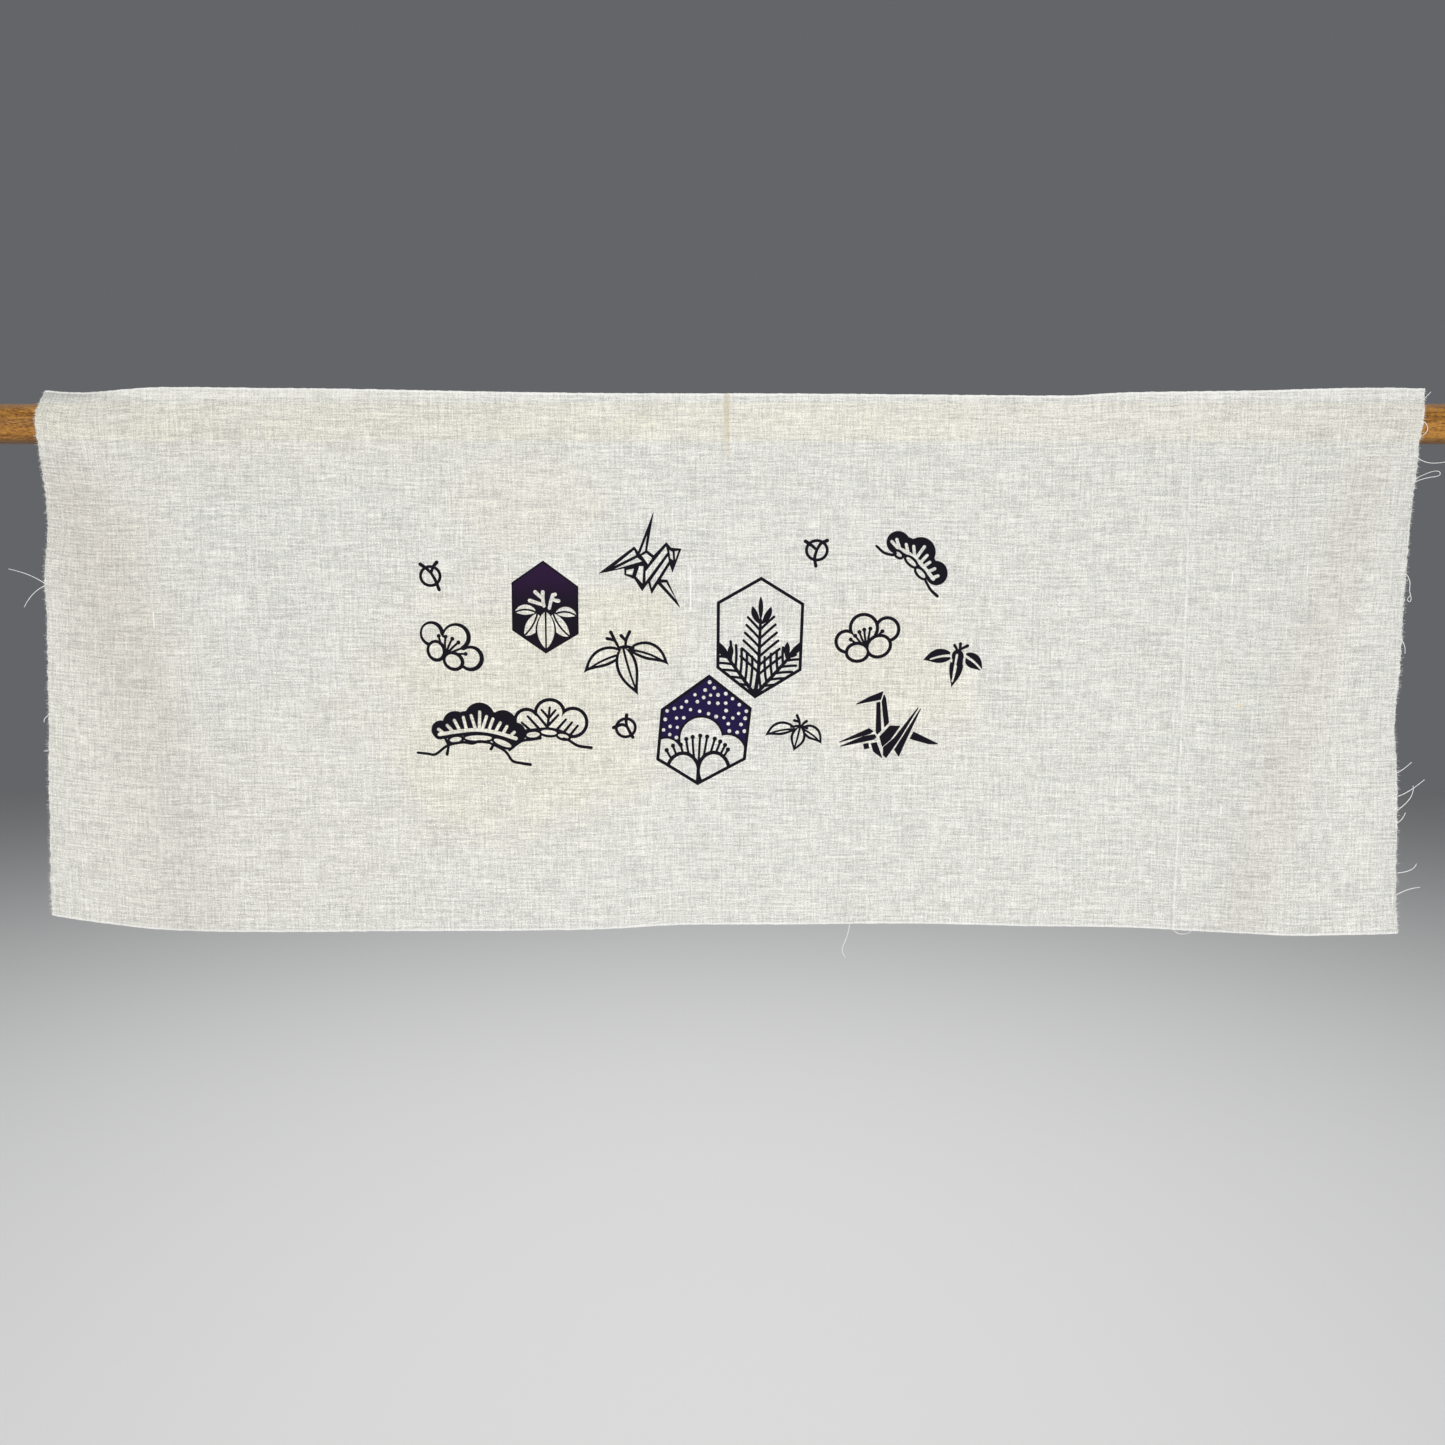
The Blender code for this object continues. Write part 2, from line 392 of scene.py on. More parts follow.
def leafShape(base, tip, width, bend=0.0, fullest=0.45, roundness=1.0, sharpness=0.0, inset=0.0, stop=1.0):
    # a leaf whose middle line bows by a share of its length. A roundness under 1 blunts its ends, and the
    # sharpness points its tip. The inset is the width of its drawn edge, left outside, and the stop is where
    # its dark tip starts.
    steps = 12
    middle = bow(base, tip, bend, steps, stop)
    power = math.log(0.5) / math.log(fullest)
    ts = [stop * i / steps for i in range(steps)]
    shares = [abs(math.sin(math.pi * t ** power)) ** (roundness + sharpness * t) for t in ts]
    halves = [max(width * share / 2 - inset, 0.0) for share in shares] + [0.0]
    ways = [middle[min(i + 1, steps)] - middle[max(i - 1, 0)] for i in range(steps + 1)]
    sides = [1j * way / abs(way) * half for way, half in zip(ways, halves)]
    left = [p + side for p, side in zip(middle, sides)]
    right = [p - side for p, side in zip(middle, sides)]
    return left + right[-2:0:-1]


def spans(rows):
    # rows of a base's x and y, a tip's x and y, and further measures, with their two ends as points
    return [(complex(*row[:2]), complex(*row[2:4]), *row[4:]) for row in rows]


def shrink(points, inset):
    # the same many-sided shape, drawn clockwise, moved in on every side
    count = len(points)
    inner = []
    for i, point in enumerate(points):
        before = point - points[i - 1]
        after = points[(i + 1) % count] - point
        before, after = before / abs(before), after / abs(after)
        inward = -1j * (before + after) / abs(before + after)
        inner.append(point + inward * inset / (inward * 1j * before.conjugate()).real)
    return inner


def insideOf(points, outline):
    # which of many points lie inside a closed outline, by how often it winds round them
    start = np.array(outline)
    end = np.roll(start, -1)
    at = np.asarray(points)[:, None]
    climbs = (start.imag <= at.imag) & (end.imag > at.imag)
    drops = (start.imag > at.imag) & (end.imag <= at.imag)
    span = end - start
    leftOf = span.real * (at.imag - start.imag) - (at.real - start.real) * span.imag
    return ((climbs & (leftOf > 0)).sum(1) - (drops & (leftOf < 0)).sum(1)) != 0


class Motif:
    # a printed motif, placed and drawn as it hangs, with a frame that nothing of it prints past
    def __init__(self, x, z, line=printLine):
        top, bottom = (float(heights[0]) * 1000 for heights in selvedges(np.array([x / 1000])))
        self.rise = towel["width"] * 1000 / (top - bottom)
        self.at = complex(x, towel["top"] * 1000 - (top - z) * self.rise)
        self.line = line
        self.frame = None

    def laidFlat(self, points):
        return [self.at + complex(p.real, p.imag * self.rise) for p in points]

    def area(self, points, ink="black"):
        frame = self.frame and self.laidFlat(self.frame)
        inkAreas.append((inkNumbers[ink], self.laidFlat(points), frame))

    def stroke(self, line, ink="black", width=None, endWidth=None):
        width = width or self.line
        endWidth = endWidth or width
        last = len(line) - 1
        self.area(sidesOf(line, [width + (endWidth - width) * i / last for i in range(last + 1)]), ink)

    def strokes(self, lines, ink="black", width=None, endWidth=None):
        for line in lines:
            self.stroke(through(line), ink, width, endWidth)

    def edges(self, points, ink="black", width=None):
        for start, end in zip(points, points[1:] + points[:1]):
            self.stroke([start, end], ink, width)

    def dot(self, centre, radius, ink="black"):
        self.area(oval(centre, radius, radius, steps=12), ink)

    def outlined(self, ovals, line=None, shift=0j):
        # ovals that share one outline; a shift of their insides makes it thicker on one side
        line = line or self.line
        for x, y, radiusX, radiusY, tilt in ovals:
            self.area(oval(complex(x, y), radiusX + line / 2, radiusY + line / 2, tilt))
        for x, y, radiusX, radiusY, tilt in ovals:
            self.area(oval(complex(x, y) + shift, radiusX - line / 2, radiusY - line / 2, tilt), "bare")

    def openTo(self, root, ovals, atCentre, atRoot):
        # bares the lines between neighbouring ovals, which run into one another towards their root
        places = [(complex(x, y), radius) for x, y, radius, _, _ in ovals]
        for centre, radius in places:
            self.stroke([centre, root], "bare", radius * atCentre, radius * atRoot)
        for (centre, radius), (nextCentre, nextRadius) in zip(places, places[1:]):
            notch = centre + (nextCentre - centre) * radius / (radius + nextRadius)
            self.area([centre, notch + (root - notch) * 0.1, nextCentre, root], "bare")


# The print's motifs: bamboo, pine, plum, fir, folded cranes and tortoiseshell hexagons

def bambooHexagon():
    m = Motif(-116.6, -119.5)
    rim = path(-0.6, 30.3, 22.3, 13.4, 22.3, -17.7, 0.6, -30.5, -21.4, -15.3, -21.4, 15.9)
    m.area(rim)
    m.area(shrink(rim, 1.2), "purple")
    leaves = [  # x and y of the base, x and y of the tip, width, bend, from the back to the front
        (-5.6, -3.4, -19.4, -3.4, 6.6, -0.12),
        (7.2, -4.4, 20.9, -5.8, 6.6, 0.14),
        (-4.6, -4, -13.4, -18.6, 8.7, 0.08),
        (5.6, -4, 16.4, -19.2, 8.5, -0.08),
        (0.7, -2.8, 0.8, -27.4, 11.2, 0),
    ]
    for base, tip, width, bend in spans(leaves):
        m.area(leafShape(base, tip, width + 2.4, bend, 0.5, 0.6, 0.15), "purple")
        m.area(leafShape(base, tip, width, bend, 0.5, 0.6, 0.15), "bare")
        m.stroke(bow(base, tip, bend), "purple", 1.3, 1.15)
    twigs = [
        path(-0.3, 0.6, -1, 5, -1, 9.8),
        path(-1, 5.6, -3.6, 7.6, -6, 9.8),
        path(-0.8, 1.4, -5.2, 2.8, -9.6, 4.2),
        path(3.2, -0.8, 4.2, 3.6, 5.6, 7.8),
        path(5, 5.6, 7, 4.4, 9.2, 4),
        path(5.6, 7.6, 6.6, 8.2, 7, 8.2),
    ]
    m.strokes(twigs, "bare", 2, 2.5)


def firHexagon():
    m = Motif(24.9, -139.7, line=1.3)
    rim = path(0.4, 40, 28.6, 22.7, 27, -21.3, -3.6, -39.8, -29, -19.7, -28.6, 23.6)
    m.frame = rim
    m.area(rim)
    m.area(shrink(rim, 2.1), "bare")
    foot = complex(-3.6, -37.6)
    m.strokes([[foot, complex(-1.2, -20), complex(-0.8, -8), complex(0, 12)]], width=2.7, endWidth=1.9)
    for i in range(6):  # the middle spray's needles, from its top one down
        root = complex(-0.5, 5.2 - 5.7 * i)
        m.stroke(bow(root, root + cmath.rect(11.4 + 1.1 * i, math.radians(133 + i)), -0.01), width=1.75)
        m.stroke(bow(root, root + cmath.rect(12.8 + 1.0 * i, math.radians(43 - i)), 0.01), width=1.75)
    sideSprays = [  # tip of the stem, which way its level needles run, lengths of its first needles
        (complex(-26.6, -5.4), -1, 13, 9),
        (complex(26.2, -4.6), 1, 11, 9),
    ]
    for tip, side, upright, level in sideSprays:
        m.stroke([foot, tip], width=2.6, endWidth=2.0)
        way = (tip - foot) / abs(tip - foot)
        for i in range(5):
            root = foot + way * (27.5 - 5.4 * i)
            m.stroke(bow(root, root + complex(-side * 0.4 * i, upright + 1.9 * i), side * 0.03), width=1.8)
        for i in range(5):
            root = foot + way * (30.5 - 5.6 * i)
            m.stroke(bow(root, root + complex(side * (level + 1.2 * i), 1), side * 0.03), width=1.75)
    buds = [  # x and y of the base, x and y of the tip, width, bend
        (0.1, 11, 0.2, 27.4, 3.2, 0),
        (0.3, 8.6, -5.2, 21, 4.2, 0.07),
        (0.1, 8.6, 7, 20.6, 4.2, -0.07),
        (-20, -15, -19.3, -3.8, 3.9, 0),
        (-19, -14.6, -29.6, -1.6, 5.4, 0.04),
        (17, -14, 17.7, -2.5, 4, 0),
        (16.6, -13.6, 28.6, -1.4, 4.4, -0.04),
        (16.6, -13.2, 24.4, -11, 3.2, 0.10),
    ]
    for base, tip, width, bend in spans(buds):
        m.area(leafShape(base, tip, width, bend, fullest=0.55, roundness=0.7, sharpness=0.1))
    m.area(path(-7.2, -37.2, -3.4, -31.5, 0.4, -37.6, -3.6, -39.8))
    m.edges(shrink(rim, 1.05), width=2.1)


def plumHexagon():
    m = Motif(-12.9, -200.5)
    rim = path(4.1, 36.9, 32.2, 14.9, 28.3, -19.6, -3.6, -36.5, -31, -19.1, -27.8, 14.5)
    m.frame = rim
    m.area(rim)
    m.area(shrink(rim, 2.1), "indigo")
    petals = [(complex(-1.2, -5.3), 13.7), (complex(15.8, -15.2), 12), (complex(-24.4, -14.8), 9.6)]
    draw = random.Random(14)
    dots = []
    while len(dots) < 41:  # small bare spots over the dark ground
        spot = complex(draw.uniform(-29, 31), draw.uniform(-13, 34))
        clearOfPetals = all(abs(spot - centre) > radius + 2.6 for centre, radius in petals)
        clearOfDots = all(abs(spot - dot) > 4.75 for dot in dots)
        if clearOfPetals and clearOfDots and insideOf([spot], shrink(rim, 3))[0]:
            dots.append(spot)
    for spot in dots:
        m.dot(spot, draw.uniform(1.05, 1.3), "bare")
    for spread, ink in ((1.5, "black"), (0, "bare")):
        for centre, radius in petals:
            m.area(oval(centre, radius + spread, radius + spread, steps=44), ink)
    m.area(path(-32, -17, -16, -10.5, 5, -10, 27.5, -15.4, 31, -21, -3.6, -38, -34, -21), "bare")
    base = complex(-3.3, -34)
    heads = path(-24, -12.8, -19.8, -10, -14.7, -9.4, -11, -5.7, -6.8, -4.4, -1.8, -3.6)
    heads += path(2.8, -4.2, 7.8, -5.6, 11.4, -7.5, 14.6, -9.8, 16.5, -12.8)
    for head in heads:
        m.stroke(bow(base + (head - base) * 0.1, head, -0.004 * head.real), width=1.6)
        m.dot(head, 1.5)
    m.outlined([(-13.3, -27.8, 10.7, 12.8, 0), (7, -27, 10.3, 12.3, 0)], line=2.5)
    m.strokes([[complex(-3.4, -36), complex(-3.2, -28), complex(-3.1, -22)]], width=2.9, endWidth=1.9)
    m.edges(shrink(rim, 1.05), width=2.1)


def bud(x, y, radiusX, radiusY, arms, stem):
    # a closed bud with two sepals that run into its stem
    m = Motif(x, y, line=2.0)
    m.outlined([(0, 0, radiusX, radiusY, 0)])
    m.strokes(arms, width=1.8, endWidth=2.5)
    m.strokes([stem], width=1.9, endWidth=2.3)


def plum(x, y, farGroups, near, root, stamens, shift=0j):
    # a plum blossom seen aslant: far petals in shared outlines, two near ones, and a fan of stamens
    m = Motif(x, y, line=2.25)
    for group in farGroups:
        m.outlined(group, shift=shift)
        m.openTo(root, group, 1.4, 1.1)
    for head in stamens:
        m.stroke(bow(root + (head - root) * 0.1, head, 0.03), width=1.8, endWidth=1.4)
        m.dot(head, 1.4)
    m.outlined(near, shift=shift * 0.4)


def bambooSpray(x, y, leaves, twigs, line=2.0, stop=0.84):
    # bamboo leaves in outline with dark tips and midribs
    m = Motif(x, y, line=line)
    for base, tip, width, bend, fullest in spans(leaves):
        m.area(leafShape(base, tip, width + line, bend, fullest, 0.7, 0.45))
        m.area(leafShape(base, tip, width + line, bend, fullest, 0.7, 0.45, line, stop), "bare")
        m.stroke(bow(base, tip, bend * 0.5, 8, stop), width=line * 0.85, endWidth=line * 0.65)
    m.strokes(twigs, width=line * 0.85, endWidth=line * 1.15)


def solidBambooSpray():
    # bamboo leaves in solid ink, each split by a bare midrib
    m = Motif(151.6, -156.2)
    leaves = [  # x and y of the base and of the tip, width, bend, where the bare midrib starts and ends
        (-0.4, 4.4, -19.8, 1.6, 9.4, -0.07, -0.1, 0.74),
        (3.4, 8.9, -1, -16.2, 9, 0.03, 0.12, 0.84),
        (6.8, 4.8, 19.2, -5.4, 9.8, 0.10, -0.1, 1.05),
    ]
    for base, tip, width, bend, start, end in spans(leaves):
        m.area(leafShape(base, tip, width, bend, 0.42, 0.65, 0.5))
        rib = bow(base + (tip - base) * start, base + (tip - base) * end, bend * 0.8)
        m.stroke(rib, "bare", 1.9, 1)
    m.area(path(-2, 9.4, -1.6, 0.6, -0.6, 0.4, 0.6, 9.2), "bare")
    m.area(path(7, 8.4, 6.4, -1.2, 7.8, -1.8, 8.6, 7.6), "bare")
    m.area(leafShape(complex(3.4, 9.3), complex(2.6, -2), 8, 0, 0.42, 0.8))
    m.stroke([complex(2.6, 5.4), complex(0.4, -8.4)], "bare", 1.5, 1.2)
    m.strokes([path(2.8, 8.2, 1.9, 10, 0.9, 11.6), path(4.4, 8.2, 4.6, 10.6, 4.8, 12.8),
               path(4.8, 9, 7, 10.2, 9.5, 11.5)], width=1.6, endWidth=2.1)


def pineCrown(x, y, lobes, comb, needles, clouds, branches, body=None):
    # a pine crown of rounded lobes over small clouds and a trailing branch. The comb is the line that its
    # needles grow from, and the needles are a root and a tip in turn. A crown with a body, half an oval, is
    # solid.
    m = Motif(x, y)
    line = through(comb)
    inward = list(zip(needles[1::2], needles[::2]))
    if body:
        m.stroke(line, width=7.0)
        centreX, centreY, reachX, reachY, lean = body
        m.area(oval(complex(centreX, centreY), reachX, reachY, lean)[:15])
        for lobeX, lobeY, radiusX, radiusY, tilt in lobes:
            m.area(oval(complex(lobeX, lobeY), radiusX, radiusY, tilt))
        m.stroke(line, "bare", 2.4, 2.4)
        m.strokes(inward, "bare", 2, 2.1)
    else:
        m.outlined(lobes, 2.3)
        m.openTo(comb[2] + 1j, lobes, 1.3, 1)
        m.stroke(line, width=1.8)
        m.strokes(inward, width=1.55, endWidth=1.9)
    m.outlined(clouds, 1.8)
    m.strokes(branches, width=1.7, endWidth=2.1)


def pines():
    pineCrown(
        -111.9, -195.1,
        lobes=[(-17.4, 1.2, 7.6, 7.2, 0), (-2, 6.2, 9.4, 8.6, 0), (13.2, -0.4, 9.2, 9.4, 0)],
        comb=path(-17.5, -5.6, -10, -4.8, -3, -4.4, 5, -6, 12, -9.6),
        needles=path(
            -3.6, -4, -2, 9.6, -3, 3, -7.4, 8, -2.4, 3, 1.8, 7.8, -4.4, -2.6, -11.2, 5.8,
            -9.6, -4, -16.6, 3.8, -15.2, -5.2, -20.6, -0.4, -2.6, -1.8, 3.6, 4.6, 2.8, -4.8, 8.6, 1.6,
            7.6, -6.4, 12.6, -0.4, 11.8, -8.2, 16.4, -2.6),
        clouds=[(-13.2, -8.4, 5.2, 2.7, 4), (-2.8, -6.9, 6.1, 2.5, -6), (6.8, -9.5, 4.5, 2.2, -14)],
        branches=[path(-29, -18.6, -21.2, -12.8, -14.5, -11.6, -8.5, -10.6),
                  path(7, -11, 11, -12.6, 16.6, -16, 25.2, -17.4)],
    )
    pineCrown(
        -161.5, -198.5,
        lobes=[(-24.6, -2, 6.3, 6.3, 0), (-15, 2.4, 8.4, 8.2, 0), (1.2, 6, 10.2, 10.3, 0),
               (16.6, 2.2, 9, 9.2, 0), (24.6, -4.4, 7, 7.6, -20)],
        body=(0.8, -3, 26, 14.4, -2),
        comb=path(-25.6, -5, -12, -2.8, 0.4, -1.9, 13, -3.9, 25, -7.6),
        needles=path(
            -22.6, -4.4, -26.2, -1.6, -16.6, -3.2, -20.4, 1, -12, -2.6, -15.6, 4.4, -7.6, -2,
            -9.6, 6.4, -1.6, -1.8, -4.4, 7.6, 0.9, -1.6, 1.3, 10, 2.8, -1.6, 5.8, 7, 7, -2.4,
            10, 5.4, 11.6, -3, 14.8, 2.8, 16.4, -4.4, 19.2, 0.4, 21.4, -6, 24, -3.4),
        clouds=[(-14.9, -8.4, 4.8, 2.5, 8), (0.2, -7.3, 9.8, 2.6, 0), (16.2, -10.6, 7, 2.7, -22)],
        branches=[path(-40.2, -17.2, -33.5, -17.9, -28.4, -18.2, -20.3, -12.4, -10.6, -10.2, -4, -10.9,
                       0.4, -9.6, 7, -10.2),
                  path(7, -10.2, 17.5, -15.8, 22.4, -22.4, 28, -24, 34.4, -25),
                  path(-19.6, -12.4, -20.8, -18.2), path(10.4, -11.2, 8.4, -14.6),
                  path(-22, -7.2, -19.8, -11.8)],
    )
    pineCrown(
        124.4, -90.2,
        lobes=[(-9.7, 12.4, 7.9, 7.6, -25), (5, 6.6, 9.8, 9.7, 0), (15.3, -7, 7.5, 8, 0)],
        body=(-0.2, 0.9, 20, 12.2, -41),
        comb=path(-9.2, 8.6, -3, 5.6, 3.4, 0.6, 8.6, -5, 13.4, -10.8),
        needles=path(
            -10.4, 9.4, -14, 13.2, -9.2, 9.8, -10.8, 14.6, -3.6, 7.2, -4.6, 11.4, 0.9, 4.6, 0.3, 10.2,
            2.6, 3.4, 7.3, 10, 5.2, 0.2, 9.2, 4.4, 7.4, -2.4, 11, 0, 9.6, -6.2, 14.3, -4.2,
            12.4, -10.2, 16.5, -8.8),
        clouds=[(-9.5, 4.9, 3.2, 2.1, -35), (-1.2, 0.2, 5, 2.3, -42), (5.2, -7.3, 4.8, 2.4, -45)],
        branches=[path(-24, 10.2, -19.2, 6, -13.4, 4.5, -11.6, 5.6),
                  path(8.4, -12.2, 11.7, -17.8, 16.2, -22)],
    )


def flyingCrane():
    # a folded-paper crane in outline: dark silhouettes, then their bare facets
    m = Motif(-46, -88.9)
    silhouettes = [
        path(1, 30.6, -9.9, 3, -3.4, 5.6),
        path(-34.6, -8, -11.6, 8.8, -4.6, -0.2, -5.2, -2.4),
        path(-9.6, 3.6, -3.4, 6.4, 1.6, 2.4, 0, -1.4, -3.2, -5, -7.2, 0.2),
        path(9.4, 11.2, -5.8, -4.2, -6, -15.6, -3.6, -16, 12.6, 4.4, 12.4, 6.6),
        path(11.6, 4.6, 12.6, -1.4, -0.3, -21.8, -2.4, -14.8),
        path(9.4, 11.2, 12.4, 7.6, 19, 7, 13.4, -8, 9.8, 2),
        path(-18, -5.2, -17.9, -9.2, -11.4, -12, -6.5, -19.8, -2.2, -13.9, -4, -2.6),
        path(3.4, -15, 5.8, -12.8, 9.9, -13.2, 18, -31),
    ]
    facets = [
        path(-3.1, 16.6, -8, 3.8, -4.5, 6),
        path(-25.2, -3.8, -11.6, 6.9, -10.2, 3.4),
        path(-25.6, -5.9, -9.6, 1.8, -6.4, -0.7),
        path(-6.8, 3, -3.7, 4.6, 0.2, 1.4, -2.6, -2.9, -4.4, -0.2),
        path(9.2, 8.8, 10.2, 4.8, -4.3, -14.2, -4.3, -7.4),
        path(10.4, 2.4, 11.1, -0.9, -0.3, -18.4, -1.2, -13.8),
        path(11.2, 6.4, 13.4, 5.2, 13.9, -0.4, 11.9, 0.8),
        path(14.8, 5.5, 17.4, 5.8, 15.1, -0.6),
        path(-16.8, -6.1, -11.8, -5.2, -12.9, -9.5, -16.9, -8.6),
        path(-8.4, -3.7, -5.5, -3.8, -6.3, -15.2, -10.6, -10.4),
        path(5.8, -14.9, 9.2, -14.7, 16.3, -27),
    ]
    for silhouette in silhouettes:
        m.area(silhouette)
        m.edges(silhouette, width=0.45)
    for facet in facets:
        m.area(facet, "bare")
        m.edges(facet, width=0.2)


def standingCrane():
    # a folded-paper crane in solid facets with bare folds between them
    m = Motif(106.6, -197.1)
    facets = [
        path(-18.2, 13.9, -9.6, 18.6, -1, 22, -2.5, 17, -9.6, 15.6),
        path(-4.9, 14.7, -2.9, 15, -2.1, -3.6, -4.4, -6, -5.2, -4.8),
        path(-0.2, 19.8, 0.9, 17.6, 3, 1.8, 0.4, -1.1, -1.5, 15.4),
        path(-29.2, -11.2, -10, -2.4, -7.3, -4.2, -9.6, -5.8),
        path(-28.6, -14, -13.6, -7.6, -6.3, -6.4, -5.3, -8, -7, -9.5),
        path(-13.4, -12.8, -10.4, -12.3, -10, -15.3, -12.8, -15.8),
        path(-8.3, -12.4, -4.9, -11.7, -1.3, -21.6, -6.8, -17.4),
        path(-2.7, -7.7, 4, -0.6, 10.3, -0.8, 4.2, -9.6, -1, -14.2),
        path(-0.3, -14.9, 7, -8.6, 22.4, 11.6, 11.2, -7.4, 1.6, -21.6, -0.2, -19.9),
        path(24, 10.8, 7.2, -16.4, 9.9, -20.6, 15.2, -8.4),
        path(19.6, -4.6, 35.6, -12.2, 29.4, -12.2, 17.4, -8.9),
    ]
    for facet in facets:
        m.area(facet)
        m.edges(facet, width=0.7)


def drawPrint():
    bud(-191.1, -99.3, 6.4, 6.2, [path(0.5, 2, -2.6, 5, -6.4, 7.6), path(0.6, 2.4, 2, 6, 4.4, 9)],
        path(0.5, 2.2, 3.6, -3.4, 5.6, -8.8))
    bud(61.5, -82.6, 6.8, 6.3, [path(0, 0.2, -3.2, 3, -7.4, 5.8), path(0, 0.2, 2.6, 4.4, 6.8, 6.4)],
        path(0, 0.2, -1.4, -4.8, -0.6, -10.2))
    bud(-63.8, -198.9, 6.3, 6, [path(0.8, 0.8, -2.6, 2.2, -8, 0.4), path(0.8, 0.8, 0.2, 4.4, 0.6, 8.4)],
        path(0.8, 0.8, 2.6, -2.8, 4.6, -6.4))
    plum(-177.7, -145,
         [[(-13, 7.8, 7, 7.4, 20), (2.8, 5.6, 8.6, 8.4, 0), (12.4, -8.2, 7.4, 7.4, 0)]],
         [(-10.4, -3.3, 5.4, 6.2, 18), (0.8, -10, 6.3, 5.2, -28)], complex(-4.6, -6.4),
         path(-8.7, 6.5, -4.2, 6, 0.2, 4.7, 4.2, 2.3, 6.8, -1.4, 8.8, -5.2), shift=complex(-0.7, 0.3))
    plum(95.5, -139.7,
         [[(12.6, 5.8, 7.5, 7.5, 0)], [(-14.2, -2.4, 6.9, 6.9, 0), (-2.8, 6.6, 8.9, 8.8, 0)]],
         [(-7, -9.4, 7.2, 5.9, 4), (7, -5.4, 8, 6.8, 28)], complex(-0.4, -7.6),
         path(-11.4, -1.1, -8.5, 1.4, -5.8, 3.9, -2.6, 5.4, 1.4, 6.1, 9.3, 4.4))
    bambooHexagon()
    bambooSpray(-64.1, -155.5,
                [(-0.5, 5.6, -27.2, -6.8, 10.6, -0.13, 0.42),
                 (2.8, 8, 28.8, -3, 9.8, 0.14, 0.42),
                 (-1.2, 10, 8.7, -22.2, 12.2, -0.045, 0.38)],
                [path(-3.8, 9.2, -6.6, 14.6, -9.2, 19.8), path(-6.8, 14.2, -9, 15, -11.6, 15.6),
                 path(0.4, 9.4, 0.9, 14.6, 3.2, 19.8), path(0.8, 13.8, -0.6, 15.4, -2.4, 17.4),
                 path(-4.6, 9.2, 0, 10.2, 5.4, 9)])
    solidBambooSpray()
    bambooSpray(46.6, -202.4,
                [(1.6, 2.6, -18.6, -1.6, 7.4, -0.13, 0.45),
                 (5.4, 3, 18.6, -7.2, 7.8, 0.14, 0.42),
                 (4.6, 4.6, 0.2, -11.8, 8.2, 0.03, 0.42)],
                [path(4.4, 4, 4, 8, 2.5, 11.8), path(3.8, 7.4, 2.4, 8, 0.8, 8.4),
                 path(5.2, 4.4, 7, 6.6, 8.8, 7.9), path(-1.4, 4.2, 4, 4.8, 9, 3.4)], line=1.75)
    pines()
    flyingCrane()
    standingCrane()
    firHexagon()
    plumHexagon()


# The towel's mesh

def flatPoints():
    # points and edges of the flat cloth in mm: an even grid, the press marks, the edges and the print
    half, width = towel["length"] * 500, towel["width"] * 1000
    top = towel["top"] * 1000
    found = {}
    edges = []

    def point(x, y):
        key = (round(x, 2), round(y, 2))
        return found.setdefault(key, len(found))

    columns = list(np.linspace(-half, half, round(2 * half / towel["gridStep"]) + 1))
    for mark, _ in towel["pressMarks"]:
        columns += [mark * 1000 + off * towel["pressHalfWidth"] * 1000 for off in (-1, -0.5, 0, 0.5, 1)]
    columns += [-half + towel["rawStrip"], half - towel["rawStrip"]]
    rows = list(np.linspace(0, width, round(width / towel["gridStep"]) + 1))
    rows += [towel["selvedgeStrip"], width - towel["selvedgeStrip"]]
    for x in columns:
        for y in rows:
            point(x, top - y)
    sideSteps = round(width / towel["edgeStep"])
    longSteps = round(2 * half / (2 * towel["edgeStep"]))
    corners = [(-half, top), (half, top), (half, top - width), (-half, top - width)]
    for (x0, y0), (x1, y1) in zip(corners, corners[1:] + corners[:1]):
        steps = sideSteps if x0 == x1 else longSteps
        for i in range(steps):
            point(x0 + (x1 - x0) * i / steps, y0 + (y1 - y0) * i / steps)
    for _, outline, _ in inkAreas:
        ring = [point(p.real, p.imag) for p in outline]
        edges += [(a, b) for a, b in zip(ring, ring[1:] + ring[:1]) if a != b]
    return list(found), edges


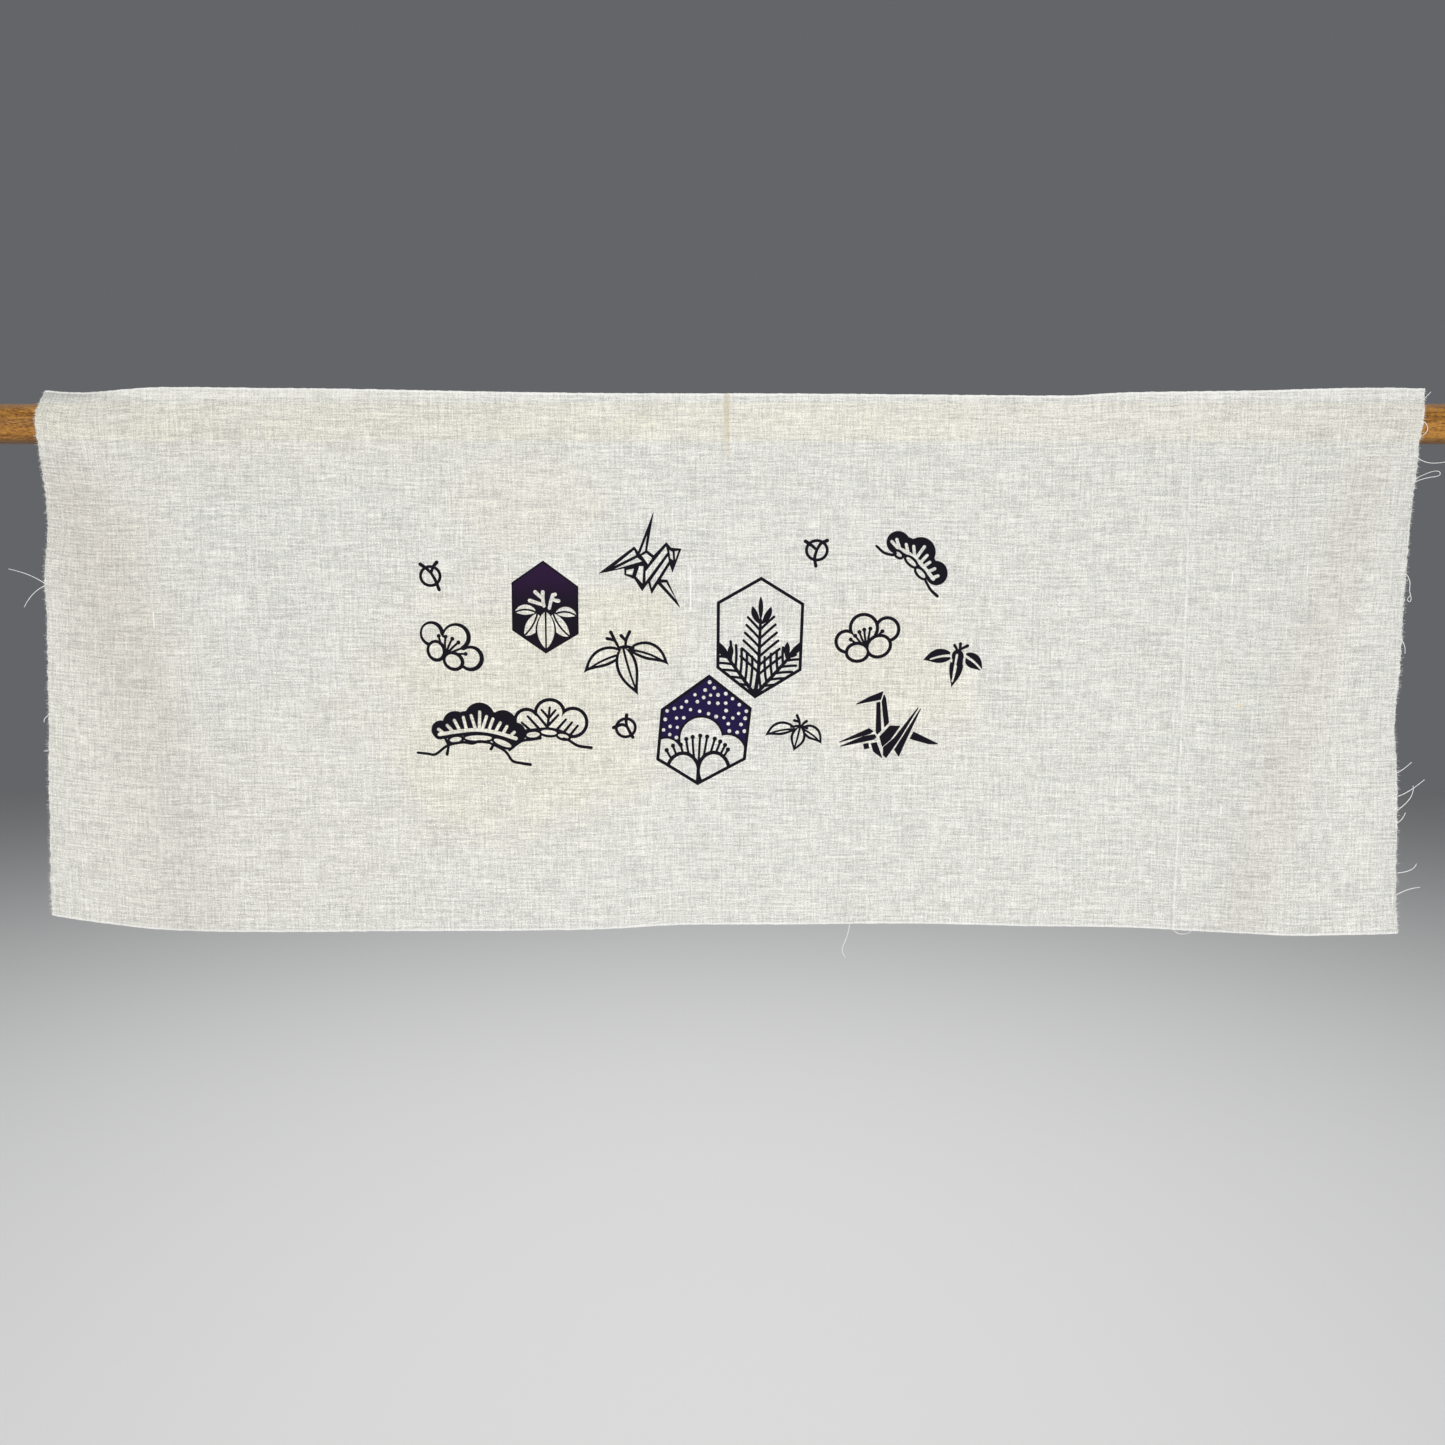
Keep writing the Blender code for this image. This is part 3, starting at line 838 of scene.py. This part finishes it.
def makeTowel(materials):
    drawPrint()
    points, edges = flatPoints()
    print("towel: flat points", len(points), "print outlines", len(inkAreas))
    flatMesh = delaunay_2d_cdt([Vector(p) for p in points], edges, [], 0, towel["mergeGap"], False)
    corners, _, faces, *_ = flatMesh
    flat = np.array([tuple(p) for p in corners])
    faces = np.array(faces)
    middles = flat[faces].mean(axis=1)
    middles = middles[:, 0] + 1j * middles[:, 1]
    inks = np.zeros(len(faces), int)
    for ink, outline, frame in inkAreas:
        reals, imags = np.real(outline), np.imag(outline)
        near = np.flatnonzero((middles.real > reals.min()) & (middles.real < reals.max())
                              & (middles.imag > imags.min()) & (middles.imag < imags.max()))
        covered = insideOf(middles[near], outline)
        if frame:
            covered &= insideOf(middles[near], frame)
        inks[near[covered]] = ink
    hung = hangCloth(flat[:, 0] / 1000, towel["top"] - flat[:, 1] / 1000)
    mesh = bpy.data.meshes.new("tenuguiTowel")
    mesh.from_pydata(hung.tolist(), [], faces.tolist())
    mesh.polygons.foreach_set("material_index", inks)
    stored = mesh.attributes.new("flatCloth", "FLOAT_VECTOR", "POINT")
    stored.data.foreach_set("vector", np.column_stack((flat, np.zeros(len(flat)))).ravel())
    shape = bmesh.new()
    shape.from_mesh(mesh)
    made = bmesh.ops.extrude_face_region(shape, geom=shape.faces[:], use_keep_orig=True)
    front = [item for item in made["geom"] if isinstance(item, bmesh.types.BMVert)]
    bmesh.ops.translate(shape, verts=front, vec=(0, -towel["thickness"], 0))
    bmesh.ops.recalc_face_normals(shape, faces=shape.faces)
    shape.normal_update()
    for face in shape.faces:
        if face.normal.y > 0.5 and face.material_index:
            face.material_index += len(inkNumbers) - 1  # the back of the cloth shows the print paler
    shape.to_mesh(mesh)
    shape.free()
    mesh.shade_smooth()
    mesh.set_sharp_from_angle(angle=math.radians(towel["sharpAngle"]))
    print("towel: faces", len(mesh.polygons), "printed faces", int((inks > 0).sum()))
    return addPiece("tenuguiTowel", mesh, *materials)


# Loose and short threads

threads = {
    "thickness": 0.00052,
    "fringeThickness": 0.00022,
    "fringeStep": 0.00075,
    "fringeLength": (0.0004, 0.0019),
    "fringeRoot": 0.0006,  # how far each short end starts inside the cloth
    "fringeInset": 0.0008,  # from the selvedges to the first and the last one
    "colours": ((0.86, 0.85, 0.81, 1), (0.96, 0.95, 0.92, 1)),
    # places in mm, with how far each point stands in front of the cloth's own depth
    "loose": {
        "leftLong": [(-440.5, -104.9, 0), (-448.7, -98.0, 1), (-463.6, -94.7, 2)],
        "leftFork": [(-440.5, -105.3, 0), (-449.2, -108.4, 1), (-455.6, -119.5, 0)],
        "leftTickHigh": [(-442.7, -190.5, 0), (-445.8, -192.5, 0), (-445.2, -194.8, 0)],
        "leftTickLow": [(-443.1, -213.7, 0), (-446.3, -213.8, 0)],
        "rightTop": [(450.2, 12.4, 0), (453.2, 14.5, 1), (457.0, 18.9, 1)],
        "rightLoop": [(451.5, 0.5, 0), (453.9, 0.6, 0), (456.0, -2.7, 1), (456.1, -5.9, 1), (454.2, -8.6, 0),
                      (450.7, -9.7, 0)],
        "rightLong": [(449.0, -21.0, 0), (451.1, -23.8, 0), (455.7, -26.3, 1), (461.0, -27.0, 2),
                      (469.3, -25.7, 3)],
        "rightDouble": [(447.6, -39.8, 0), (449.8, -37.9, 1), (457.5, -35.4, 2), (464.0, -35.3, 2),
                        (465.8, -32.7, 1), (463.1, -30.8, 1), (456.7, -32.7, 0), (447.6, -37.6, 0)],
        "rightCurl": [(444.6, -97.4, 0), (448.4, -101.9, 1), (446.3, -108.4, 1), (449.6, -112.9, 0),
                      (448.5, -117.5, 0), (445.6, -114.2, 0), (447.9, -112.0, 1)],
        "rightTickHigh": [(443.4, -140.8, 0), (446.4, -145.0, 0), (445.8, -149.8, 0)],
        "rightTickMiddle": [(443.6, -228.6, 0), (446.7, -227.1, 1), (453.1, -221.1, 1)],
        "rightSpur": [(444.6, -244.0, 0), (448.8, -243.1, 0), (454.6, -239.1, 1), (461.5, -232.4, 2)],
        "rightHook": [(445.4, -253.2, 0), (451.0, -248.5, 1), (456.1, -243.1, 1), (455.1, -236.8, 0)],
        "rightTickLow": [(445.8, -261.8, 0), (449.5, -259.2, 0), (450.9, -254.8, 0)],
        "rightLow": [(447.6, -295.2, 0), (454.5, -294.3, 1), (458.4, -292.3, 1), (459.8, -289.0, 0)],
        "rightLowest": [(448.0, -309.6, 0), (454.9, -305.1, 1), (461.8, -304.4, 2)],
        "bottomLong": [(85.0, -330.6, 0), (84.1, -337.8, 1), (80.6, -345.3, 1), (79.4, -349.4, 0),
                       (82.4, -353.8, 0)],
        "bottomLoop": [(301.6, -334.8, 0), (304.6, -338.0, 1), (309.4, -338.2, 1), (313.6, -335.2, 0)],
    },
}


def clothDepthAt(x, z):
    # depth of the hanging cloth's back near a place, in metres
    along = np.array([max(-0.45, min(0.45, x))])
    top, bottom = selvedges(along)
    down = np.clip((top - z) / (top - bottom), 0, 1) * towel["width"]
    return float(hangCloth(along, down)[0][1])


def threadPiece(name, routes, thickness, material, tapered):
    # many thin threads as one curve, each through its own few points
    curve = bpy.data.curves.new(name, "CURVE")
    curve.dimensions = "3D"
    curve.bevel_depth = thickness / 2
    curve.bevel_resolution = 1
    curve.resolution_u = 5
    curve.use_fill_caps = True
    for route in routes:
        spline = curve.splines.new("NURBS")
        spline.points.add(len(route) - 1)
        for i, place in enumerate(route):
            spline.points[i].co = (*place, 1.0)
            spline.points[i].radius = 1.0 - tapered * i / (len(route) - 1)
        spline.order_u = min(4, len(route))
        spline.use_endpoint_u = True
    return addPiece(name, curve, material)


def looseRoutes():
    routes = []
    for points in threads["loose"].values():
        rootX, rootZ, _ = points[0]
        depth = clothDepthAt(rootX / 1000, rootZ / 1000) - towel["thickness"] / 2
        routes.append([(x / 1000, depth - front / 1000, z / 1000) for x, z, front in points])
    return routes


def fringeRoutes():
    # the cut ends of the lengthwise yarns, which stand a little way out of each raw end
    draw = random.Random(21)
    count = int(towel["width"] / threads["fringeStep"])
    down = np.linspace(threads["fringeInset"], towel["width"] - threads["fringeInset"], count)
    routes = []
    for side in (-1, 1):
        roots = hangCloth(np.full(count, side * towel["length"] / 2), down)
        for root in roots:
            length = draw.uniform(*threads["fringeLength"]) * draw.choice((0.5, 1, 1, 1.35))
            droop = draw.uniform(-0.45, 0.35) * length
            depth = root[1] - towel["thickness"] / 2
            start = (root[0] - side * threads["fringeRoot"], depth, root[2])
            lift = draw.uniform(0, 0.2) * length
            middle = (root[0] + side * length * 0.5, depth - lift, root[2] + droop * 0.3)
            end = (root[0] + side * length, depth + draw.uniform(-0.4, 0.4) * length, root[2] + droop)
            routes.append([start, middle, end])
    return routes


# The rod

rod = {
    "length": 1.200,
    "radius": 0.0130,
    "endBevel": 0.0012,
    "sides": 96,
    "stations": 60,
    "unevenness": 0.00007,
    "rimSteps": 4,
    "sharpAngle": 35,
}


def makeRod(material):
    # half of the lengthwise section, from the middle of one end to the middle of the other, spun round
    half, radius, bevel = rod["length"] / 2, rod["radius"], rod["endBevel"]
    profile = [(-half, 0.0), (-half, radius * 0.5)]
    for i in reversed(range(rod["rimSteps"] + 1)):
        angle = math.radians(90 * i / rod["rimSteps"])
        profile.append((-half + bevel * (1 - math.sin(angle)), radius - bevel * (1 - math.cos(angle))))
    mirrored = [(-x, r) for x, r in reversed(profile)]
    inner = np.linspace(-half + bevel, half - bevel, rod["stations"] + 2)[1:-1]
    profile = profile + [(x, radius) for x in inner] + mirrored
    shape = bmesh.new()
    verts = [shape.verts.new((x, 0.0, r)) for x, r in profile]
    chain = [shape.edges.new(pair) for pair in zip(verts, verts[1:])]
    bmesh.ops.spin(shape, geom=verts + chain, cent=(0, 0, 0), axis=(1, 0, 0), angle=math.tau,
                   steps=rod["sides"], use_merge=True)
    bmesh.ops.remove_doubles(shape, verts=shape.verts, dist=1e-6)
    bmesh.ops.recalc_face_normals(shape, faces=shape.faces)
    for vertex in shape.verts:
        if abs(vertex.co.x) < half - bevel:
            place = Vector((vertex.co.x * 6, vertex.co.y * 50, vertex.co.z * 50))
            swell = 1 + rod["unevenness"] / radius * noise.noise(place)
            vertex.co.y *= swell
            vertex.co.z *= swell
    mesh = bpy.data.meshes.new("woodenRod")
    shape.to_mesh(mesh)
    shape.free()
    mesh.shade_smooth()
    mesh.set_sharp_from_angle(angle=math.radians(rod["sharpAngle"]))
    return addPiece("woodenRod", mesh, material)


# Materials

cotton = {
    "light": (0.930, 0.920, 0.860, 1),
    "dark": (0.480, 0.476, 0.446, 1),
    "slub": (0.960, 0.955, 0.925, 1),
    "warmLight": (1.000, 0.945, 0.720, 1),  # yellowed by age
    "warmDark": (0.540, 0.490, 0.370, 1),
    "foldShadeLight": (0.820, 0.765, 0.685, 1),  # painted shade along the fold troughs at both ends
    "foldShadeDark": (0.420, 0.385, 0.345, 1),
    "brown": (0.520, 0.410, 0.235, 1),
    "pitch": 0.44,  # mm between yarns
    "toneShares": (1.6, 1.05, 0.80, 0.22),  # of the grain, the picks, the ends and the slow clouds
    "bumpDepth": 0.00011,
    "roughness": 0.92,
    # middle x and z, half width and half height in mm, and strength of each soft stain
    "stains": [
        (-140, -190, 106, 94, 0.35), (-66, -132, 50, 30, 0.40), (110, -164, 62, 60, 0.28),
        (-58, -2, 24, 10, 0.40), (-130, -50, 62, 40, 0.20), (340.6, -184.6, 3.0, 2.2, 0.85),
        (-405, -160, 60, 220, 0.16), (-300, -6, 170, 40, 0.12), (-300, -268, 130, 90, 0.12),
    ],
    # x, z and half length in mm of the thick places that show as single white dashes
    "dashes": [(332.9, -100.4, 5.2), (382.6, -95.6, 4.6), (331.2, -254.0, 3.8), (-373.6, -128.0, 6.5),
               (-20.8, -108.0, 14.5)],
    # x at the top and at the bottom, strength, height where it starts, of each press mark's painted highlight
    # and shade
    "marks": [(304.0, 301.5, 0.55, 30), (226.4, 225.0, 0.26, -140), (2.0, 1.0, 0.16, 30),
              (-218.0, -218.4, 0.16, -206)],
}


def yarnWeave(recipe, along, up):
    # height of a plain weave with slightly uneven yarns
    shift = recipe.noise(along * 0.05, up * 0.05, 3.0, 1.0) - 0.5
    a = (along + shift * 0.8) * (math.pi / cotton["pitch"])
    b = (up + shift * 0.8) * (math.pi / cotton["pitch"])
    return a.sine() * b.sine() * 0.5 + 0.5


def yarnShade(recipe, run, across, length, thickness, seed):
    # how light each yarn or group of yarns is along its run, about 0
    return recipe.noise(run / length, across / thickness, seed, 1.0, 0.6) - 0.5


def slubMask(recipe, run, across, seed):
    # rare thick places in a yarn
    spot = recipe.noise(run / 5.5, across / 0.72, seed, 0.0)
    patch = recipe.noise(run / 45, across / 30, seed + 4, 1.0)
    return spot.ramp(0.72, 0.80) * patch.ramp(0.40, 0.58)


def yarnTone(recipe, along, up):
    # light and dark of the yarns that the weave is uneven with, about 0
    grain = recipe.noise(along / 0.85, up / 0.85, 9.0, 1.0) - 0.5
    picks = yarnShade(recipe, along, up, 8.0, 0.95, 1.0) + yarnShade(recipe, along, up, 34.0, 1.5, 12.0) * 0.9
    ends = yarnShade(recipe, up, along, 7.0, 1.0, 21.0) + yarnShade(recipe, up, along, 26.0, 1.5, 33.0) * 0.9
    cloud = recipe.noise(along / 22, up / 16, 5.0) - 0.5
    grainShare, pickShare, endShare, cloudShare = cotton["toneShares"]
    return grain * grainShare + picks * pickShare + ends * endShare + cloud * cloudShare


def clothMaterial():
    recipe = Recipe("undyedCotton")
    along, up = recipe.flatPlace()
    x, y, z = recipe.place()
    tone = yarnTone(recipe, along, up)
    drift = recipe.noise(x / 42, z / 42, 7.0, 3.0, 0.6)
    overRod = z.size().ramp(13.2, 11.6) * x.ramp(100, 200, 1.0, 0.75)  # a slightly warmer band
    stained = overRod * (drift * 0.34 + 0.11)
    for middleX, middleZ, halfWidth, halfHeight, strength in cotton["stains"]:
        offX, offZ = (x - middleX) / halfWidth, (z - middleZ) / halfHeight
        far = (offX * offX + offZ * offZ).root() + (drift - 0.5) * 1.3
        stained = stained.most(far.ramp(1.25, 0.45) * strength)
    # painted shade: the end folds' troughs darkened in the colour
    foldShade = paintedFoldShade(recipe, x, z)
    light = recipe.mix(foldShade, recipe.mix(stained, cotton["light"], cotton["warmLight"]), cotton["foldShadeLight"])
    dark = recipe.mix(foldShade, recipe.mix(stained, cotton["dark"], cotton["warmDark"]), cotton["foldShadeDark"])
    # painted light brightening the strip above the rod, and painted shade where its left corner bends back
    paintedLightAboveRod = z.ramp(13.0, 17.0) * x.ramp(-425, -375, -0.22, 0.22)
    # painted light brightening the cloth from about 8 mm below the rod's axis upward, across x -150 to 420 mm
    middle = z.ramp(-14.0, -8.0) * x.ramp(-150, 0) * x.ramp(420, 300) * 0.06
    colour = recipe.mix((tone + 0.5 + paintedLightAboveRod + middle).most(0.0).least(1.0), dark, light)
    slubs = slubMask(recipe, along, up, 40.0).most(slubMask(recipe, up, along, 60.0) * 0.8)
    for dashX, dashZ, half in cotton["dashes"]:
        dash = (x - dashX).size().ramp(0.75, 0.30) * (z - dashZ).size().ramp(half, half - 2)
        slubs = slubs.most(dash * 1.4)
    colour = recipe.mix((slubs * 0.6).least(1.0), colour, cotton["slub"])
    width, top = towel["width"] * 1000, towel["top"] * 1000
    edge = (top - up).least(up - (top - width))
    selvedge = edge.ramp(1.5, 0.9)
    inner = edge.ramp(1.3, 2.1) * edge.ramp(3.2, 2.3)
    colour = recipe.mix(selvedge * 0.55, colour, cotton["slub"])
    colour = recipe.mix(inner * 0.14, colour, cotton["dark"])
    colour = pressMarkHighlightAndShade(recipe, colour, along, up)
    weave = yarnWeave(recipe, along, up)
    height = weave * 0.5 + tone * 0.9 + slubs * 0.8 + selvedge * 0.9
    normal = recipe.bump(height, cotton["bumpDepth"], 0.5)
    return recipe.finish(Base_Color=colour, Roughness=cotton["roughness"], Specular_IOR_Level=0.1,
                         Sheen_Weight=0.05, Sheen_Roughness=0.5, Normal=normal)


def paintedFoldShade(recipe, x, z):
    # painted shade, darker and warmer, in the troughs of the two end folds; each follows its fold's curve
    depth = ((z + 20) / -315).most(0.0)
    left = (x + 452 - depth.root() * 94).size().ramp(46, 4) * z.ramp(-300, -60, 0.30, 0.58)
    right = (x - 422 + depth * 72).size().ramp(26, 3) * 0.36
    return left.most(right) * z.ramp(-10, -34)


def pressMarkHighlightAndShade(recipe, colour, along, up):
    # the painted highlight along each press mark's ridge, painted shade in a line beside it, and the middle
    # one's brown top
    broken = recipe.noise(along / 3, up / 8, 5.0).ramp(0.30, 0.62, 0.25, 1.0)
    for top, bottom, strength, startsAt in cotton["marks"]:
        lean = (top - bottom) / (towel["width"] * 1000)
        drift = recipe.noise(up / 60, top, 2.0, 1.0) - 0.5
        off = along - top - (up - towel["top"] * 1000) * lean + drift * 1.6
        shown = up.ramp(startsAt + 8, startsAt - 8) * broken * strength
        # painted highlight along the ridge, then painted shade in a line to its left
        colour = recipe.mix(off.size().ramp(0.95, 0.25) * shown, colour, cotton["slub"])
        colour = recipe.mix((off + 1.4).size().ramp(1.1, 0.3) * shown * 0.30, colour, cotton["dark"])
    brown = (along - 2.6).size().ramp(3.2, 0.6) * up.ramp(-32, -4) * 0.42
    return recipe.mix(brown, colour, cotton["brown"])


inks = {  # colour on the front, and how it shows through on the back
    "black": ((0.0125, 0.0110, 0.0165, 1), (0.075, 0.072, 0.080, 1)),
    "purple": ((0.030, 0.0135, 0.042, 1), (0.095, 0.070, 0.115, 1)),
    "indigo": ((0.020, 0.0135, 0.058, 1), (0.080, 0.068, 0.140, 1)),
}
fades = {"purple": ((0.0135, 0.0112, 0.0185, 1), -122, -96)}  # lower colour, and the heights it turns between


def inkMaterial(name, colour, fade=None):
    # dye on the cloth: the yarns still show in its surface
    recipe = Recipe(name)
    along, up = recipe.flatPlace()
    height = yarnWeave(recipe, along, up) * 0.5 + yarnTone(recipe, along, up) * 0.9
    if fade:
        lowColour, low, high = fade
        colour = recipe.mix(up.ramp(low, high), lowColour, colour)
    return recipe.finish(Base_Color=colour, Roughness=0.95, Specular_IOR_Level=0.0,
                         Normal=recipe.bump(height, cotton["bumpDepth"], 0.5))


def inkMaterials():
    front = [inkMaterial(name + "Ink", colours[0], fades.get(name)) for name, colours in inks.items()]
    return front + [inkMaterial(name + "InkBack", colours[1]) for name, colours in inks.items()]


def threadMaterial():
    recipe = Recipe("cottonThread")
    x, y, z = recipe.place()
    shade = recipe.noise(x * 1.6, y * 1.6, z * 1.6)
    colour = recipe.mix(shade.ramp(0.3, 0.7), *threads["colours"])
    return recipe.finish(Base_Color=colour, Roughness=0.85, Specular_IOR_Level=0.3)


wood = {
    "dark": (0.160, 0.062, 0.009, 1),
    "light": (0.520, 0.240, 0.042, 1),
    "pores": (0.110, 0.042, 0.010, 1),
    "shadedTopAndUnderside": (0.085, 0.038, 0.010, 1),  # painted shade along the top and the underside
    "waviness": 5.0,  # mm
    "bumpDepth": 0.00012,
}


def woodMaterial():
    # golden-brown wood with short dark flecks, wavy grain and slow blotches
    recipe = Recipe("stainedWood")
    x, y, z = recipe.place()
    bend = (recipe.noise(x / 34, y / 8, z / 8) - 0.5) * wood["waviness"]
    flecks = recipe.noise(x / 2.4, y / 0.8, z / 0.8, 2.0, 0.6)
    grain = recipe.noise(x / 22, (y + bend) / 1.5, (z + bend) / 1.5, 3.0, 0.6)
    blotch = recipe.noise(x / 70, y / 11, z / 11)
    shade = flecks * 0.8 + grain * 0.7 + blotch * 0.5
    colour = recipe.mix(shade.ramp(0.82, 1.20), wood["dark"], wood["light"])
    pores = recipe.noise(x / 7, y / 0.4, z / 0.4, 2.0, 0.6)
    colour = recipe.mix(pores.ramp(0.42, 0.30) * 0.5, colour, wood["pores"])
    # painted shade: the rod darker towards its top and its underside
    colour = recipe.mix(z.size().ramp(8.5, 13.0) * 0.75, colour, wood["shadedTopAndUnderside"])
    normal = recipe.bump(flecks * 0.5 + pores * 0.5, wood["bumpDepth"], 0.5)
    roughness = blotch.ramp(0.3, 0.7, 0.46, 0.58)
    return recipe.finish(Base_Color=colour, Roughness=roughness, Specular_IOR_Level=0.35, Normal=normal)


# Studio

studio = {
    "cameraAt": (0.0, -0.9627, -0.1024),
    "pitchDown": 5.6,
    "sensor": 36.0,  # mm
    "lens": 36.0,
    "floorHeight": -0.90,
    "floorSize": 9.0,
    "floorColour": (0.72, 0.72, 0.71, 1),
    "airColour": (0.125, 0.130, 0.140, 1),
    "lights": [  # place, aim, size, watts
        ((-2.20, -3.30, 0.70), (0.0, 0.0, -0.18), 1.6, 33.5),
        ((0.16, -1.60, -0.12), (0.03, 0.0, -0.16), 0.9, 16.7),
        ((0.0, 1.10, 1.70), (0.0, 0.25, -0.90), 2.2, 60.0),
    ],
}


def makeStudio():
    scene = bpy.context.scene
    scene.view_settings.view_transform = "Standard"
    world = bpy.data.worlds.new("studioAir")
    world.use_nodes = True
    world.node_tree.nodes["Background"].inputs["Color"].default_value = studio["airColour"]
    scene.world = world
    bpy.ops.mesh.primitive_plane_add(size=studio["floorSize"], location=(0, 0, studio["floorHeight"]))
    floor = bpy.context.object
    floor.name = "studioFloor"
    recipe = Recipe("paleFloor")
    floor.data.materials.append(recipe.finish(Base_Color=studio["floorColour"], Roughness=0.8))
    for i, (place, aim, size, watts) in enumerate(studio["lights"]):
        lamp = bpy.data.lights.new(f"softLight{i}", "AREA")
        lamp.size = size
        lamp.energy = watts
        light = addPiece(f"softLight{i}", lamp)
        light.location = place
        light.rotation_euler = (Vector(aim) - Vector(place)).to_track_quat("-Z", "Y").to_euler()
    lensData = bpy.data.cameras.new("camera")
    lensData.sensor_width = studio["sensor"]
    lensData.lens = studio["lens"]
    camera = addPiece("camera", lensData)
    camera.location = studio["cameraAt"]
    camera.rotation_euler = (math.radians(90 - studio["pitchDown"]), 0, 0)
    scene.camera = camera


makeStudio()
print("studio ready")

cloth = makeTowel([clothMaterial()] + inkMaterials())
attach(cloth, "root")
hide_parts("towel")

threadLook = threadMaterial()
looseThreads = threadPiece("looseThreads", looseRoutes(), threads["thickness"], threadLook, 0.25)
fringe = threadPiece("rawEndFringe", fringeRoutes(), threads["fringeThickness"], threadLook, 0.7)
for piece in (looseThreads, fringe):
    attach(piece, "root")
print("threads ready")

woodenRod = makeRod(woodMaterial())
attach(woodenRod, "root")
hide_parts("rod")
print("rod ready")
